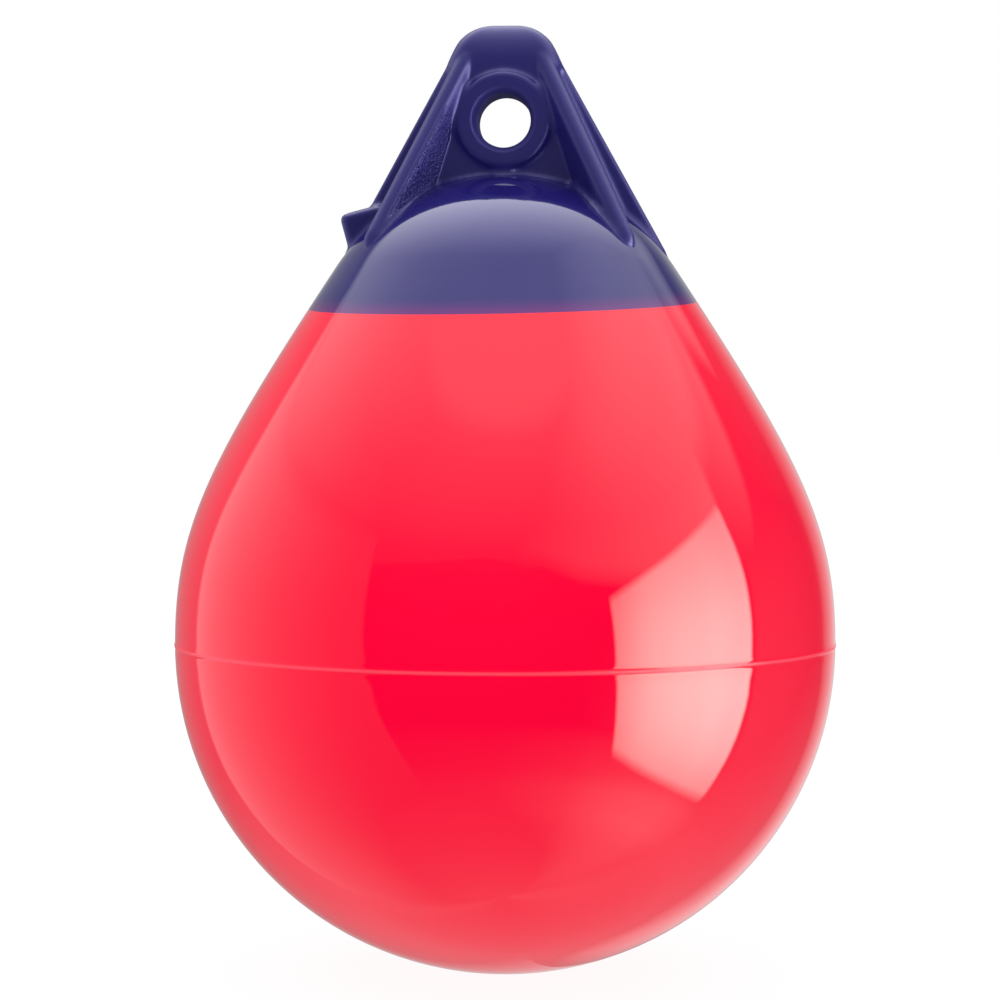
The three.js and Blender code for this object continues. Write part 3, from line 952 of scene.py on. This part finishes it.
upper_right = product(
    ramp(across, (-180, 0), (2, 0), (10, 0.35), (18, 0.5), (30, 0.72), (42, 0.95), (54, 1.22),
         (66, 1.4), (78, 1.58), (90, 1.7), (114, 1.8), (138, 1.5), (180, 0.3)),
    ramp(maths(sky, "SUBTRACT", up, right_limit), (-180, 0), (0, 0), (3, 0.5), (8, 1),
         (180, 1)),
    ramp(up, (-90, 1), (28, 1), (36, 0.94), (44, 1.06), (52, 1.28), (60, 1.35), (90, 0.9)))
front_limit = ramp(across, (-180, 21), (-44, 21), (-5, 26), (23, 23), (44, 18), (180, 18))
ceiling = product(
    ramp(across, (-180, 0.35), (-138, 0.4), (-127.4, 1), (96, 1), (110, 0.5), (180, 0.35)),
    ramp(maths(sky, "SUBTRACT", up, front_limit), (-180, 0), (0, 0), (1.2, 1), (180, 1)),
    ramp(up, (-90, 0.1), (20, 0.14), (28, 0.22), (36, 0.41), (44, 0.60), (52, 0.80), (56, 1.0),
         (60, 1.6), (68, 1.7), (78, 1.35), (90, 1.3)))
skylight = product(bump(over, 112, 44), bump(aside, -4, 46),
                   ramp(over, (-180, 1), (131, 1), (136, 0.2), (180, 0.2)), 4.1)
backdrop = product(
    ramp(over, (-180, 0), (153, 0), (157, 4.5), (164, 4.5), (168, 0), (180, 0)),
    ramp(aside, (-90, 0), (-12, 0), (-7, 1), (7, 1), (12, 0), (90, 0)))
table = ramp(up, (-90, 0.74), (-84, 0.7), (-76, 0.6), (-68, 0.5), (-60, 0.42), (-50, 0.31),
             (-44, 0.2), (-40, 0.0), (90, 0))
table_back = product(
    ramp(across, (-180, 0.68), (-140, 0.74), (-128, 0.85), (-112, 0.6), (-90, 0.5), (-60, 0),
         (30, 0), (84, 0.9), (102, 0.95), (126, 0.8), (150, 0.73), (180, 0.68)),
    ramp(up, (-90, 1.05), (-68, 1.02), (-50, 0.95), (-40, 0.72), (-24, 0.45), (-8, 0.2),
         (10, 0), (90, 0)))
table_right = product(
    ramp(across, (-180, 0), (0, 0.18), (18, 0.33), (30, 0.46), (42, 0.72), (54, 0.92), (66, 1),
         (78, 0.97), (90, 0.74), (102, 0.5), (114, 0.4), (180, 0)),
    ramp(up, (-90, 0.3), (-84, 0.46), (-76, 0.56), (-68, 0.61), (-60, 0.75), (-52, 1),
         (-44, 0.9), (-38, 0.5), (-28, 0.22), (-22, 0), (90, 0)), 1.68)
softbox = product(
    panel(((39.0, 13.2), (97, 30), (95.8, -41), (43.4, -33)), (0.05, 0.03, 0.07, 0.02)),
    ramp(across, (-180, 0.3), (38, 0.36), (45, 0.6), (54, 0.88), (64, 1), (80, 1), (92, 0.8),
         (180, 0.75)),
    ramp(up, (-90, 0.4), (-40, 0.48), (-36, 0.56), (-28, 0.78), (-20, 0.94), (-12, 1),
         (4, 0.86), (12, 0.72), (20, 0.6), (32, 0.42), (90, 0.4)), 11.4)
room = brightest(left_wall, right_back, upper_left, upper_right, ceiling, skylight,
                 backdrop, table, table_back, table_right, softbox)
soft_light = ramp(up, (-90, 1.0), (0, 1.02), (50, 1.35), (90, 1.5))
glossy = rays.outputs["Is Glossy Ray"]
seen = rays.outputs["Is Camera Ray"]
other = maths(sky, "SUBTRACT", 1.0, maths(sky, "ADD", glossy, seen))
lit = maths(sky, "MULTIPLY", soft_light, other)
strength = maths(sky, "ADD", maths(sky, "MULTIPLY_ADD", room, glossy, lit), seen)
light = node(sky, "ShaderNodeBackground", Color=WHITE_LIGHT, Strength=strength)
out = sky.nodes.new("ShaderNodeOutputWorld")
sky.links.new(light.outputs[0], out.inputs["Surface"])

bpy.context.scene.view_settings.view_transform = "Standard"

bpy.context.view_layer.update()
